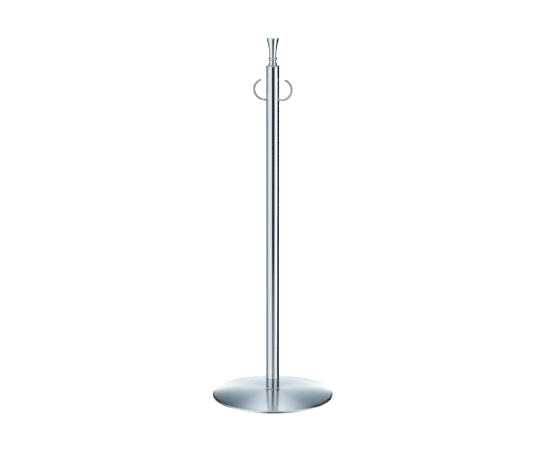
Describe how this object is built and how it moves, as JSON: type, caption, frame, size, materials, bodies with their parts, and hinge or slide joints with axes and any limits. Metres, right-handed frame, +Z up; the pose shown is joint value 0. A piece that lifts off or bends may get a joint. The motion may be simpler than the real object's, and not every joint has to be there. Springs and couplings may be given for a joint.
{
  "type": "rope barrier post",
  "caption": "Free-standing crowd-control post for ropes: a weighted domed base, a polished steel tube with an open round hook on each side, and a flared finial.",
  "frame": {"origin": "on the floor, on the post's axis", "axes": "+Z up along the post; both hooks lie in the XZ plane, hook_right towards +X"},
  "size_m": [0.33, 0.33, 1.0008],
  "materials": {
    "stainless_satin": "stainless steel, brushed in circles to a satin sheen",
    "stainless_polished": "stainless steel, polished to a mirror",
    "chrome": "polished chrome plate",
    "zinc_steel": "zinc-plated steel",
    "plain_steel": "plain turned steel",
    "cast_iron": "rough casting, painted black",
    "rubber": "matt black rubber",
    "nylon": "natural white nylon"
  },
  "bodies": {
    "base": {"floor_pad": "rubber", "ballast_plate": "cast_iron", "base_cover": "stainless_satin", "base_bolt": "zinc_steel", "bolt_washer": "zinc_steel", "nut_washer": "zinc_steel", "lock_washer": "plain_steel", "clamp_nut": "zinc_steel"},
    "gasket": {"post_gasket": "nylon"},
    "post": {"post_tube": "stainless_polished", "foot_plug": "plain_steel", "hook_block": "plain_steel", "hook_left": "stainless_polished", "hook_right": "stainless_polished", "hook_screw_left": "plain_steel", "hook_screw_right": "plain_steel", "top_cap": "stainless_polished"},
    "washer": {"finial_washer": "nylon"},
    "finial": {"finial_stud": "zinc_steel", "finial_collar": "chrome", "finial_ring": "chrome", "finial_trumpet": "chrome"}
  },
  "joints": [
    {"name": "post_lift", "type": "slide", "parent": "base", "child": "gasket", "axis": [0, 0, 1], "range_m": [0, 0.0202]},
    {"name": "post_turn", "type": "hinge", "parent": "gasket", "child": "post", "pos_m": [0, 0, 0.0246], "axis": [0, 0, 1], "range_deg": [0, 4140]},
    {"name": "finial_lift", "type": "slide", "parent": "post", "child": "washer", "axis": [0, 0, 1], "range_m": [0, 0.0151]},
    {"name": "finial_turn", "type": "hinge", "parent": "washer", "child": "finial", "pos_m": [0, 0, 0.9271], "axis": [0, 0, 1], "range_deg": [0, 3600]}
  ],
  "couplings": [
    {"joint": "post_lift", "follows": "post_turn", "m_per_rad": 0.00027852},
    {"joint": "finial_lift", "follows": "finial_turn", "m_per_rad": 0.00023873}
  ]
}
